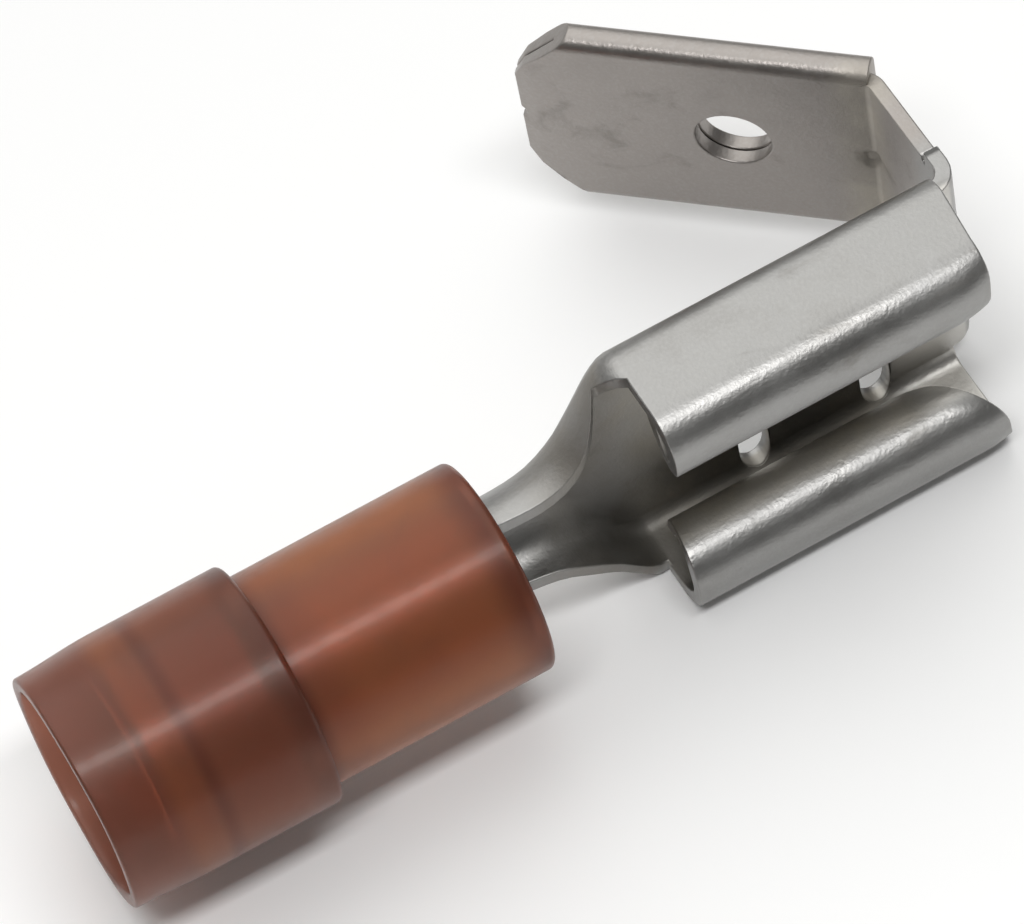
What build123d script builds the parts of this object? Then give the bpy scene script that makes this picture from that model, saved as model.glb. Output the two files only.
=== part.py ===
"""Insulated piggyback quick connector: a female blade receptacle with a male tab folded back over it.

Three separate pieces are built, all in millimetres in one frame:
  terminal           one tin-plated sheet: wire barrel, trough neck, receptacle with rolled lips, riser, hemmed tab
  support_ferrule    stepped copper tube pressed round the barrel
  insulation_sleeve  stepped nylon tube outside the ferrule

The wire barrel's axis is the X axis, with the wire entering at X = 0 and the receptacle at the far end.
The rolled lips face -Y and the tab lies on the +Y side. Z runs across the width, and the connector lies on
its side, so Z points up.
"""

import math
import os

from build123d import (
    Align,
    Axis,
    Box,
    Cylinder,
    Face,
    Line,
    Plane,
    Polyline,
    Pos,
    RadiusArc,
    Rot,
    Spline,
    ThreePointArc,
    Wire,
    export_step,
    extrude,
    loft,
    make_face,
    revolve,
)

# The sheet and the standard blade it mates with and carries
SHEET = 0.40
TAB_WIDTH = 6.35
TAB_THICKNESS = 2 * SHEET

# Wire barrel, a tube rolled from the sheet with its seam on the -Y side
BARREL_R = 1.60
BARREL_START = 4.90
BARREL_END = 11.35
BARREL_SEAM = 0.08

# Receptacle: flat floor on the +Y side, two side walls, and lips rolled inwards over the floor
RECEPTACLE_START = 15.30
RECEPTACLE_END = 23.98
RECEPTACLE_HALF = 3.90
FLOOR_Y = 1.66
CORNER_R = 0.80
LIP_R = 1.08
LIP_CENTRE_Y = -0.66
LIP_SWEEP = 262.0
LIP_LEAD_IN = 1.60
LIP_NOSE_CUT = 0.10
LIP_REAR_SLANT = 0.30
UPPER_LIP_SETBACK = 0.14
UPPER_LIP_END = RECEPTACLE_END - UPPER_LIP_SETBACK
SLOT_WIDTH = 0.80
SLOT_FROM_FRONT = (5.50, 2.16)
SLOT_OUTER = 3.43
SLOT_INNER = 1.40

# Riser: the floor bent outwards, then bent back into the tab
BEND_R = 0.25
FOOT_R = 0.38
FOOT_HALF = 3.16
FOOT_TOP = 2.46
RISER_HALF = 2.88
RISER_X = RECEPTACLE_END + FOOT_R
RISER_TOP = 4.93
TAB_ANGLE = 41.8
TAB_LENGTH = 8.68
HEM_TAIL = 0.12
HEM_EDGE_R = 0.34
HEM_GAP = 0.03
HEM_SEAM = 0.10
TIP_CHAMFER = 1.45
TIP_BEVEL = 0.16
TAB_HOLE_R = 0.94
TAB_HOLE_FROM_TIP = 5.27

# Nylon sleeve
SLEEVE_END = 11.22
SLEEVE_STEP = 5.40
SLEEVE_MOUTH_R = 2.97
SLEEVE_REAR_R = 3.06
SLEEVE_FRONT_R = 2.69

# Copper ferrule, with a running clearance inside the sleeve and round the barrel
FERRULE_WALL = 0.30
FERRULE_CLEARANCE = 0.05
FERRULE_START = 1.45
FERRULE_STEP = 4.85
FERRULE_END = 11.05
FERRULE_REAR_R = 2.50
FERRULE_FRONT_R = 1.97


def at_x(x, points):
    """Points given as (z, y) pairs become points of the cross-section at x."""
    return [(x, y, z) for z, y in points]


def trough_section(x, half, floor_y, corner_r, edge_y):
    """A U of sheet seen along X: flat floor at +Y, round corners, straight walls up to edge_y."""
    r_in = corner_r - SHEET
    zc = half - corner_r
    yc = floor_y - corner_r
    k = math.sqrt(0.5)
    edges = []
    edges.append(Line(*at_x(x, [(half, edge_y), (half, yc)])))
    outer_mid = (zc + corner_r * k, yc + corner_r * k)
    edges.append(ThreePointArc(*at_x(x, [(half, yc), outer_mid, (zc, floor_y)])))
    edges.append(Line(*at_x(x, [(zc, floor_y), (-zc, floor_y)])))
    outer_mid = (-zc - corner_r * k, yc + corner_r * k)
    edges.append(ThreePointArc(*at_x(x, [(-zc, floor_y), outer_mid, (-half, yc)])))
    edges.append(Line(*at_x(x, [(-half, yc), (-half, edge_y)])))
    edges.append(Line(*at_x(x, [(-half, edge_y), (-half + SHEET, edge_y)])))
    edges.append(Line(*at_x(x, [(-half + SHEET, edge_y), (-half + SHEET, yc)])))
    inner_mid = (-zc - r_in * k, yc + r_in * k)
    edges.append(ThreePointArc(*at_x(x, [(-half + SHEET, yc), inner_mid, (-zc, floor_y - SHEET)])))
    edges.append(Line(*at_x(x, [(-zc, floor_y - SHEET), (zc, floor_y - SHEET)])))
    inner_mid = (zc + r_in * k, yc + r_in * k)
    edges.append(ThreePointArc(*at_x(x, [(zc, floor_y - SHEET), inner_mid, (half - SHEET, yc)])))
    edges.append(Line(*at_x(x, [(half - SHEET, yc), (half - SHEET, edge_y)])))
    edges.append(Line(*at_x(x, [(half - SHEET, edge_y), (half, edge_y)])))
    return Face(Wire(edges))


def receptacle_section(x):
    """Half of the receptacle seen along X, from the middle of the floor round to the lip's free edge."""
    half = RECEPTACLE_HALF
    zc = half - CORNER_R
    yc = FLOOR_Y - CORNER_R
    lz = half - LIP_R
    ly = LIP_CENTRE_Y
    k = math.sqrt(0.5)
    end = math.radians(LIP_SWEEP)
    mid = end / 2
    r_in = LIP_R - SHEET

    def lip(radius, angle):
        return (lz + radius * math.cos(angle), ly - radius * math.sin(angle))

    corner_mid = (zc + CORNER_R * k, yc + CORNER_R * k)
    inner_r = CORNER_R - SHEET
    inner_mid = (zc + inner_r * k, yc + inner_r * k)
    edges = [
        Line(*at_x(x, [(0, FLOOR_Y), (zc, FLOOR_Y)])),
        ThreePointArc(*at_x(x, [(zc, FLOOR_Y), corner_mid, (half, yc)])),
        Line(*at_x(x, [(half, yc), (half, ly)])),
        ThreePointArc(*at_x(x, [(half, ly), lip(LIP_R, mid), lip(LIP_R, end)])),
        Line(*at_x(x, [lip(LIP_R, end), lip(r_in, end)])),
        ThreePointArc(*at_x(x, [lip(r_in, end), lip(r_in, mid), (half - SHEET, ly)])),
        Line(*at_x(x, [(half - SHEET, ly), (half - SHEET, yc)])),
        ThreePointArc(*at_x(x, [(half - SHEET, yc), inner_mid, (zc, FLOOR_Y - SHEET)])),
        Line(*at_x(x, [(zc, FLOOR_Y - SHEET), (0, FLOOR_Y - SHEET)])),
        Line(*at_x(x, [(0, FLOOR_Y - SHEET), (0, FLOOR_Y)])),
    ]
    return Face(Wire(edges))


def prism(points, z_low, z_high):
    """A solid whose outline is the closed (x, y) polygon, between two heights."""
    face = make_face(Plane.XY * Polyline(*points, close=True))
    return Pos(0, 0, z_low) * extrude(face, amount=z_high - z_low, dir=(0, 0, 1))


def make_barrel():
    """The rolled tube, open along its seam."""
    tube = Cylinder(BARREL_R, BARREL_END - BARREL_START, align=(Align.CENTER, Align.CENTER, Align.MIN))
    bore = Cylinder(BARREL_R - SHEET, BARREL_END, align=(Align.CENTER, Align.CENTER, Align.MIN))
    tube = Pos(BARREL_START, 0, 0) * Rot(0, 90, 0) * (tube - bore)
    seam = Pos(BARREL_START, 0, 0) * Box(
        BARREL_END, 2 * BARREL_R, BARREL_SEAM, align=(Align.MIN, Align.MAX, Align.CENTER)
    )
    return tube - seam


NECK_STATIONS = 9
NECK_FIRST_R = BARREL_R - 0.005


def smooth(u):
    """Rises from 0 to 1 with no slope at either end."""
    return u * u * (3 - 2 * u)


def neck_section(u):
    """The trough at a share u of the way from the barrel to the receptacle."""
    x = BARREL_END + u * (RECEPTACLE_START - BARREL_END)
    half = BARREL_R + (RECEPTACLE_HALF - BARREL_R) * smooth(u**2)
    floor = BARREL_R + (FLOOR_Y - BARREL_R) * smooth(u)
    corner = NECK_FIRST_R + (CORNER_R - NECK_FIRST_R) * smooth(u**1.5)
    return trough_section(x, half, floor, corner, -0.6)


# Free edge of the neck's walls: the upper wall falls into a relief notch before the lip starts
UPPER_EDGE = ((BARREL_END, -0.05), (12.6, -0.10), (13.45, -0.05), (13.95, 0.12), (14.35, 0.52), (14.62, 0.92))
UPPER_NOTCH = (RECEPTACLE_START, 0.36)
LOWER_EDGE = ((BARREL_END, -0.05), (12.6, -0.20), (13.3, -0.31), (14.2, -0.17), (RECEPTACLE_START, 0.0))


def make_neck():
    """A trough that widens from the barrel to the receptacle, its walls trimmed along two curves."""
    neck = loft([neck_section(i / (NECK_STATIONS - 1)) for i in range(NECK_STATIONS)])
    upper = Spline(*UPPER_EDGE)
    over = -1.2
    upper_line = [
        upper,
        Line(UPPER_EDGE[-1], UPPER_NOTCH),
        Line(UPPER_NOTCH, (RECEPTACLE_START, over)),
        Line((RECEPTACLE_START, over), (BARREL_END, over)),
        Line((BARREL_END, over), UPPER_EDGE[0]),
    ]
    lower = Spline(*LOWER_EDGE)
    lower_line = [
        lower,
        Line(LOWER_EDGE[-1], (RECEPTACLE_START, over)),
        Line((RECEPTACLE_START, over), (BARREL_END, over)),
        Line((BARREL_END, over), LOWER_EDGE[0]),
    ]
    upper_cut = extrude(Face(Wire(upper_line)), amount=5.0, dir=(0, 0, 1))
    lower_cut = extrude(Face(Wire(lower_line)), amount=5.0, dir=(0, 0, -1))
    return neck - upper_cut - lower_cut


def make_receptacle():
    """Floor, side walls and rolled lips, with lead-in cuts on the lips and four slots in the floor."""
    length = RECEPTACLE_END - RECEPTACLE_START
    half = extrude(receptacle_section(RECEPTACLE_START), amount=length, dir=(1, 0, 0))
    body = half + half.mirror(Plane.XY)
    # past its crest each lip is cut away at a slant at both ends, deepest at the rolled-in edge
    crest_y = LIP_CENTRE_Y - LIP_R
    cut_y = LIP_CENTRE_Y + LIP_R
    for side, front in ((1, UPPER_LIP_END), (-1, RECEPTACLE_END)):
        lead_in = [
            (front - LIP_NOSE_CUT, crest_y),
            (front - LIP_LEAD_IN, cut_y),
            (RECEPTACLE_END + 0.1, cut_y),
            (RECEPTACLE_END + 0.1, crest_y),
        ]
        rear = [
            (RECEPTACLE_START, crest_y),
            (RECEPTACLE_START + LIP_REAR_SLANT, cut_y),
            (RECEPTACLE_START - 0.1, cut_y),
            (RECEPTACLE_START - 0.1, crest_y),
        ]
        low, high = sorted((side * 1.0, side * (RECEPTACLE_HALF - LIP_R)))
        for corner in (lead_in, rear):
            body -= prism(corner, low, high)
    # the upper wall's front edge leans back towards its lip
    lean = [
        (RECEPTACLE_END + 0.1, FLOOR_Y - CORNER_R),
        (RECEPTACLE_END, FLOOR_Y - CORNER_R),
        (UPPER_LIP_END, LIP_CENTRE_Y),
        (UPPER_LIP_END, LIP_CENTRE_Y - 2.0),
        (RECEPTACLE_END + 0.1, LIP_CENTRE_Y - 2.0),
    ]
    body -= prism(lean, 0.5, RECEPTACLE_HALF + 0.5)
    for from_front in SLOT_FROM_FRONT:
        for side in (1, -1):
            middle = side * (SLOT_OUTER + SLOT_INNER) / 2
            straight = SLOT_OUTER - SLOT_INNER - SLOT_WIDTH
            slot = Box(SLOT_WIDTH, 1.6, straight)
            for end in (1, -1):
                round_end = Rot(90, 0, 0) * Cylinder(SLOT_WIDTH / 2, 1.6)
                slot += Pos(0, 0, end * straight / 2) * round_end
            body -= Pos(RECEPTACLE_END - from_front, FLOOR_Y - SHEET + 0.8 - 0.25, middle) * slot
    return body


def tab_frame():
    """Frame of the tab: its X runs towards the tip and its Z away from the receptacle's floor."""
    angle = math.radians(TAB_ANGLE)
    turn = math.radians(90 - TAB_ANGLE)
    along = (-math.cos(angle), math.sin(angle), 0)
    away = (math.sin(angle), math.cos(angle), 0)
    start = (
        RISER_X - BEND_R + BEND_R * math.cos(turn),
        RISER_TOP + BEND_R * math.sin(turn),
        0,
    )
    return Plane(origin=start, x_dir=along, z_dir=away)


def make_riser():
    """The single sheet between floor and tab: two bends with a straight riser between them."""
    outer = BEND_R + SHEET
    cx = RISER_X - BEND_R
    foot_y = FLOOR_Y + FOOT_R
    turn = math.radians(90 - TAB_ANGLE)
    k = math.sqrt(0.5)
    foot_outer = FOOT_R + SHEET
    foot_x = RECEPTACLE_END

    def top(radius, angle):
        return (cx + radius * math.cos(angle), RISER_TOP + radius * math.sin(angle))

    edges = [
        ThreePointArc(
            (foot_x, FLOOR_Y - SHEET),
            (foot_x + foot_outer * k, foot_y - foot_outer * k),
            (foot_x + foot_outer, foot_y),
        ),
        Line((foot_x + foot_outer, foot_y), top(outer, 0)),
        ThreePointArc(top(outer, 0), top(outer, turn / 2), top(outer, turn)),
        Line(top(outer, turn), top(BEND_R, turn)),
        ThreePointArc(top(BEND_R, turn), top(BEND_R, turn / 2), top(BEND_R, 0)),
        Line(top(BEND_R, 0), (RISER_X, foot_y)),
        ThreePointArc(
            (RISER_X, foot_y),
            (foot_x + FOOT_R * k, foot_y - FOOT_R * k),
            (foot_x, FLOOR_Y),
        ),
        Line((foot_x, FLOOR_Y), (foot_x, FLOOR_Y - SHEET)),
    ]
    strip = extrude(Face(Wire(edges)), amount=FOOT_HALF, dir=(0, 0, 1), both=True)
    for side in (1, -1):
        # above the foot the strip narrows, and a small shear mark runs into its edge there
        above = [
            (RISER_X - 1.0, FOOT_TOP),
            (RISER_X + 1.0, FOOT_TOP),
            (RISER_X + 1.0, RISER_TOP + 2.0),
            (RISER_X - 1.0, RISER_TOP + 2.0),
        ]
        low, high = sorted((side * RISER_HALF, side * (FOOT_HALF + 0.5)))
        strip -= prism(above, low, high)
        strip -= Pos(RISER_X + SHEET / 2, FOOT_TOP + 0.06, side * RISER_HALF) * Box(1.0, 0.12, 0.30)
    return strip


def hem_section():
    """The tab seen from its tip: the face sheet with both edges folded flat behind it."""
    half = TAB_WIDTH / 2
    t = SHEET
    gap = HEM_GAP / 2
    bend = half - t
    seam = HEM_SEAM / 2
    r = HEM_EDGE_R
    flat = half - r
    k = r * (1 - math.sqrt(0.5))
    right = [
        Line((0, 0), (flat, 0)),
        ThreePointArc((flat, 0), (half - k, k), (half, r)),
        Line((half, r), (half, 2 * t - r)),
        ThreePointArc((half, 2 * t - r), (half - k, 2 * t - k), (flat, 2 * t)),
        Line((flat, 2 * t), (seam, 2 * t)),
        Line((seam, 2 * t), (seam, t + gap)),
        Line((seam, t + gap), (bend, t + gap)),
        ThreePointArc((bend, t + gap), (bend + gap, t), (bend, t - gap)),
        Line((bend, t - gap), (0, t - gap)),
        Line((0, t - gap), (0, 0)),
    ]
    return Face(Wire(right))


def make_tab():
    """The hemmed tab in its own frame, with chamfered tip, bevelled tip faces and the detent hole."""
    half_section = hem_section()
    # the section is drawn in X and Y, and stood across the tab's length
    across = Plane(origin=(0, 0, 0), x_dir=(0, 1, 0), z_dir=(1, 0, 0))
    side = Pos(-HEM_TAIL, 0, 0) * extrude(across * half_section, amount=TAB_LENGTH + HEM_TAIL, dir=(1, 0, 0))
    body = side + side.mirror(Plane.XZ)
    half = TAB_WIDTH / 2
    for sign in (1, -1):
        corner = [
            (TAB_LENGTH - TIP_CHAMFER, sign * (half + 0.001)),
            (TAB_LENGTH + 0.5, sign * (half + 0.001)),
            (TAB_LENGTH + 0.5, sign * (half - TIP_CHAMFER - 0.5)),
        ]
        body -= prism(corner, -0.5, 1.5)
    # both faces slope together at the very tip
    for z, sign in ((0.0, -1), (TAB_THICKNESS, 1)):
        wedge = [
            (TAB_LENGTH - 0.55, z),
            (TAB_LENGTH + 0.1, z - sign * (TIP_BEVEL + 0.03)),
            (TAB_LENGTH + 0.1, z + sign * 0.3),
            (TAB_LENGTH - 0.55, z + sign * 0.3),
        ]
        face = make_face(Plane.XZ * Polyline(*wedge, close=True))
        body -= extrude(face, amount=4.0, dir=(0, 1, 0), both=True)
    # a notch where the two hems meet at the tip
    notch = [(TAB_LENGTH - 0.14, -0.07), (TAB_LENGTH - 0.14, 0.07), (TAB_LENGTH + 0.1, 0.2), (TAB_LENGTH + 0.1, -0.2)]
    body -= prism(notch, -0.5, 1.5)
    hole = Cylinder(TAB_HOLE_R, 3.0)
    body -= Pos(TAB_LENGTH - TAB_HOLE_FROM_TIP, 0, 0) * hole
    return body


def make_terminal():
    """The whole stamping, one solid."""
    tab = tab_frame().location * make_tab()
    # a crescent dimple pressed into the inside of the bend
    dimple = tab_frame().location * (Pos(-0.05, -0.13, -0.02) * Cylinder(0.30, 0.22))
    return make_receptacle() + make_neck() + make_barrel() + make_riser() + tab - dimple


def make_sleeve():
    """The nylon tube, turned round the X axis."""
    bore_rear = FERRULE_REAR_R + FERRULE_CLEARANCE
    bore_front = FERRULE_FRONT_R + FERRULE_CLEARANCE
    edges = [
        Line((0.06, SLEEVE_MOUTH_R - 0.36), (0.0, SLEEVE_MOUTH_R - 0.28)),
        Line((0.0, SLEEVE_MOUTH_R - 0.28), (0.0, SLEEVE_MOUTH_R - 0.08)),
        RadiusArc((0.0, SLEEVE_MOUTH_R - 0.08), (0.08, SLEEVE_MOUTH_R), 0.08),
        Spline(
            (0.08, SLEEVE_MOUTH_R),
            (1.0, (SLEEVE_MOUTH_R + SLEEVE_REAR_R) / 2 + 0.01),
            (2.0, SLEEVE_REAR_R),
            tangents=[(1, 0.05), (1, 0)],
        ),
        Line((2.0, SLEEVE_REAR_R), (SLEEVE_STEP - 0.14, SLEEVE_REAR_R)),
        RadiusArc((SLEEVE_STEP - 0.14, SLEEVE_REAR_R), (SLEEVE_STEP, SLEEVE_REAR_R - 0.14), 0.14),
        Line((SLEEVE_STEP, SLEEVE_REAR_R - 0.14), (SLEEVE_STEP, SLEEVE_FRONT_R + 0.06)),
        RadiusArc((SLEEVE_STEP, SLEEVE_FRONT_R + 0.06), (SLEEVE_STEP + 0.06, SLEEVE_FRONT_R), -0.06),
        Line((SLEEVE_STEP + 0.06, SLEEVE_FRONT_R), (SLEEVE_END - 0.16, SLEEVE_FRONT_R)),
        RadiusArc((SLEEVE_END - 0.16, SLEEVE_FRONT_R), (SLEEVE_END, SLEEVE_FRONT_R - 0.16), 0.16),
        Line((SLEEVE_END, SLEEVE_FRONT_R - 0.16), (SLEEVE_END, bore_front)),
        Line((SLEEVE_END, bore_front), (FERRULE_STEP + 0.15, bore_front)),
        Line((FERRULE_STEP + 0.15, bore_front), (FERRULE_STEP + 0.15, bore_rear)),
        Line((FERRULE_STEP + 0.15, bore_rear), (FERRULE_START + 0.3, bore_rear)),
        Line((FERRULE_START + 0.3, bore_rear), (FERRULE_START + 0.1, bore_rear + 0.07)),
        Line((FERRULE_START + 0.1, bore_rear + 0.07), (0.06, SLEEVE_MOUTH_R - 0.36)),
    ]
    return revolve(Face(Wire(edges)), axis=Axis.X)


def make_ferrule():
    """The copper tube: belled rear rim, large bore for the insulation, small bore round the barrel."""
    r1 = FERRULE_REAR_R
    r2 = FERRULE_FRONT_R
    w = FERRULE_WALL
    s = FERRULE_STEP
    profile = [
        (FERRULE_START, r1 + 0.06),
        (FERRULE_START + 0.32, r1),
        (s - 0.12, r1),
        (s, r1 - 0.12),
        (s, r2 + 0.10),
        (s + 0.10, r2),
        (FERRULE_END - 0.06, r2),
        (FERRULE_END, r2 - 0.06),
        (FERRULE_END, r2 - w),
        (s - w + 0.10, r2 - w),
        (s - w, r2 - w + 0.10),
        (s - w, r1 - w),
        (FERRULE_START + 0.32, r1 - w),
        (FERRULE_START, r1 - w + 0.06),
    ]
    face = make_face(Plane.XY * Polyline(*profile, close=True))
    return revolve(face, axis=Axis.X)


if __name__ == "__main__":
    os.makedirs("parts", exist_ok=True)
    export_step(make_terminal(), "parts/terminal.step")
    export_step(make_ferrule(), "parts/support_ferrule.step")
    export_step(make_sleeve(), "parts/insulation_sleeve.step")
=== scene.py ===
"""Looks of the insulated piggyback spade terminal: nylon sleeve, copper ferrule and tin-plated stamping.

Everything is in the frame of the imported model. Lengths are written in millimetres and multiplied by MM where
they go into a mesh, a shader, a lamp or the camera.
"""

import math

import bpy
import numpy as np
from mathutils import Matrix


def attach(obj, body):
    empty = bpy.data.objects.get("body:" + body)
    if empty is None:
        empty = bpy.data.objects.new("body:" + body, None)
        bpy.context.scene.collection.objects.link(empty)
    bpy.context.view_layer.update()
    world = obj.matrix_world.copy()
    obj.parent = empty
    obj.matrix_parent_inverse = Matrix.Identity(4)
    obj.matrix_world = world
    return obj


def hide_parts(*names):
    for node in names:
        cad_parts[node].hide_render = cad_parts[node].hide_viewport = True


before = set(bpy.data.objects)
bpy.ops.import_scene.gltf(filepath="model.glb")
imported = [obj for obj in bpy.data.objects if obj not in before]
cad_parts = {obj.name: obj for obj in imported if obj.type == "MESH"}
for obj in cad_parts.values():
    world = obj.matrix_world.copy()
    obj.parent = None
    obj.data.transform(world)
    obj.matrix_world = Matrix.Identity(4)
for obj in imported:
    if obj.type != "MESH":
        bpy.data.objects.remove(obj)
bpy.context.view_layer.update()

MM = 0.001


# The stamping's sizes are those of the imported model; only its rounded edges and drawn-in lip noses are added.
# ROWS, LINES and TURNS say where its mesh has points: rows along X, up the riser or along the tab; lines at half
# widths of the floor or heights of the walls; turns in degrees.

SHEET = 0.40
EDGE_ROUND = 0.045
RIM_TURNS = (25.0, 52.0, 90.0)
MITRE_LIMIT = 0.6
WELD_DECIMALS = 4
QUARTER_TURN = np.radians((0, 15, 30, 45, 60, 75, 90))

# Receptacle: floor, round corners and side walls

RECEPTACLE_START = 15.30
RECEPTACLE_END = 23.98
RECEPTACLE_HALF = 3.90
FLOOR_Y = 1.66
CORNER_R = 0.80
INNER_CORNER_R = CORNER_R - SHEET
CORNER_Y = FLOOR_Y - CORNER_R
FLAT_HALF = RECEPTACLE_HALF - CORNER_R
FOOT_HALF = 3.16
NOTCH_END_Y = 0.36
FLOOR_LINES = (0.0, 0.1, 0.2, 0.3, 0.45, 0.6, 0.9, 1.2, 1.5, 2.0, 2.5, 2.73, 2.88)
CORNER_TURNS = (16.0, 31.0, 46.0, 61.0, 76.0, 90.0)
WALL_LINES = (0.60, NOTCH_END_Y, 0.18, 0.0, -0.22, -0.44, -0.66)
REAR_ROWS = (RECEPTACLE_START, 15.4, 15.55, 15.9, 16.4, 16.9, 17.35)
MIDDLE_ROWS = (19.6, 20.1, 20.6)
FRONT_ROWS = (22.85, 23.1, 23.3, 23.45, 23.6, 23.72, 23.82, 23.9, RECEPTACLE_END)

# Lips, rolled back over the floor; their noses are cut back and drawn in

LIP_R = 1.08
LIP_CENTRE_Y = -0.66
LIP_SWEEP = 262.0
LIP_COLUMNS = 26
LIP_REAR_SLANT = 0.30
LIP_LEAD_IN = 1.60
LIP_NOSE_CUT = 0.10
LIP_NOSE_CUT_SPREAD = 0.75
LIP_NOSE_LENGTH = 0.80
LIP_NOSE_DEPTH = 0.12
LIP_NOSE_TURN = 70.0
UPPER_LIP_SETBACK = 0.14

# Slots in the floor: two along X on each side, straight between two half widths

SLOT_CENTRES = (18.48, 21.82)
SLOT_R = 0.40
SLOT_STRAIGHT = (1.80, 3.03)
SLOT_FIRST_LINE = 0.9
SLOT_ROWS = (-0.75, -0.6, -0.45, -0.3, -0.15, 0.0, 0.15, 0.3, 0.45, 0.6, 0.75)
SLOT_STEPS = (0.0, 0.12, 0.24, 0.36, 0.48, 0.60, 0.71, 0.81, 0.90, 0.96, 1.0)

# Neck: its two free edges as (x, y), and the relief notch that ends the upper one

NECK_START = 11.35
NOTCH_START = 14.62
NOTCH_START_Y = 0.92
UPPER_EDGE = (
    (NECK_START, -0.05), (12.6, -0.10), (13.45, -0.05), (13.95, 0.12), (14.35, 0.52), (NOTCH_START, NOTCH_START_Y),
)
LOWER_EDGE_END_Y = 0.0
LOWER_EDGE = ((NECK_START, -0.05), (12.6, -0.20), (13.3, -0.31), (14.2, -0.17), (RECEPTACLE_START, LOWER_EDGE_END_Y))
NECK_ROWS = (
    NECK_START, 11.6, 11.9, 12.2, 12.5, 12.8, 13.1, 13.4, 13.65, 13.85, 14.05, 14.2, 14.35, 14.5,
    NOTCH_START, 14.75, 14.9, 15.1, RECEPTACLE_START,
)

# Wire barrel, rolled from the sheet with its seam on the open side

BARREL_R = 1.60
BARREL_FLAT = 0.005
BARREL_ROWS = (4.90, 5.6, 6.6, 7.8, 9.0, 10.0, 10.7, 11.1, NECK_START)
SEAM_HALF = 0.04
SEAM_COLUMNS = 10

# Riser: foot bend, upright with a narrow shear step at its foot, top bend with a pressed dimple

FOOT_R = 0.38
FOOT_TOP = 2.46
SHEAR_TOP = 2.58
RISER_X = RECEPTACLE_END + FOOT_R
RISER_TOP = 4.93
RISER_ROWS = (2.25, FOOT_TOP, SHEAR_TOP, 2.75, 3.1, 3.6, 4.1, 4.5, 4.75, RISER_TOP)
BEND_R = 0.25
BEND_STEPS = 8
DIMPLE_ALONG = -0.05
DIMPLE_ACROSS = -0.13
DIMPLE_R = 0.30
DIMPLE_DEPTH = 0.09
DIMPLE_BRIM = 0.05
DIMPLE_SHOULDER = 0.12

# Tab: a face with both edges folded flat behind it, chamfered and notched at the tip, with a round hole

TAB_ANGLE = 41.8
TAB_LENGTH = 8.68
TAB_HALF = 3.175
HEM_TAIL = 0.12
HEM_EDGE_R = 0.34
HEM_GAP = 0.03
HEM_SEAM = 0.10
FOLD_CLEARANCE = 0.03
TIP_CHAMFER = 1.45
TIP_SLOPE_LENGTH = 0.55
TIP_SLOPE = 0.29
TIP_NOTCH = 0.14
TIP_NOTCH_HALF = 0.06
TIP_NOTCH_FADE = 0.13
HOLE_R = 0.94
HOLE_FROM_TIP = 5.27
HOLE_CENTRE = TAB_LENGTH - HOLE_FROM_TIP
HOLE_LINE = 1.5
HOLE_ROWS = (-1.5, -1.2, -0.9, -0.6, -0.3, 0.0, 0.3, 0.6, 0.9, 1.2, 1.5)
HOLE_STEPS = (0.0, 0.4, 0.75, 0.92, 1.0)
BACK_LINES = (2.5, 2.0, HOLE_LINE, 1.2, 0.9, 0.6, 0.3, HEM_SEAM / 2)
TAB_REAR_ROWS = (0.0, 0.08, 0.16, 0.26, 0.5, 0.9, 1.4)
TAB_FRONT_ROWS = (5.4, 6.0)
TAB_ROWS = np.array([*TAB_REAR_ROWS, *(HOLE_CENTRE + row for row in HOLE_ROWS), *TAB_FRONT_ROWS])
TAB_TIP_SHARES = np.array([0.3, 0.6, 0.8, 0.9, 0.96, 1.0])

# The tab's own frame: along it, across it and away behind its face, from the end of the top bend

TAB_TURN = math.radians(90 - TAB_ANGLE)
TAB_ALONG = np.array([-math.cos(math.radians(TAB_ANGLE)), math.sin(math.radians(TAB_ANGLE)), 0])
TAB_ACROSS = np.array([0.0, 0.0, 1.0])
TAB_AWAY = np.array([math.cos(TAB_TURN), math.sin(TAB_TURN), 0])
TAB_ORIGIN = np.array([RISER_X - BEND_R + BEND_R * math.cos(TAB_TURN), RISER_TOP + BEND_R * math.sin(TAB_TURN), 0])

# Columns are numbered from the middle of the floor outwards: floor lines, corner turns, wall lines, lip

FLOOR_COUNT = len(FLOOR_LINES) + 1
WALL_COLUMN = FLOOR_COUNT + len(CORNER_TURNS)
LAST_CORNER_COLUMN = WALL_COLUMN - 1
FIRST_SLOT_COLUMN = FLOOR_LINES.index(SLOT_FIRST_LINE)
UPPER_EDGE_COLUMN = WALL_COLUMN + WALL_LINES.index(NOTCH_END_Y)
LOWER_EDGE_COLUMN = WALL_COLUMN + WALL_LINES.index(LOWER_EDGE_END_Y)
LIP_TURN = np.radians(LIP_SWEEP) * np.arange(1, LIP_COLUMNS + 1) / LIP_COLUMNS


def point_array(x, y, z):
    """Three arrays, stretched to one shape, become points along a last axis."""
    return np.stack(np.broadcast_arrays(x, y, z), -1).astype(float)


def unit(vectors):
    """Each vector divided by its own length."""
    return vectors / np.maximum(np.linalg.norm(vectors, axis=-1, keepdims=True), 1e-12)


def smooth_rise(u):
    """Rises from 0 to 1 with no slope at either end: three times the square less twice the cube."""
    return u * u * (3 - 2 * u)


def both_sides(lower, upper):
    """Columns from the lower side's last to the upper side's last, sharing the middle one."""
    return np.concatenate([lower[::-1][:-1], upper])


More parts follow.
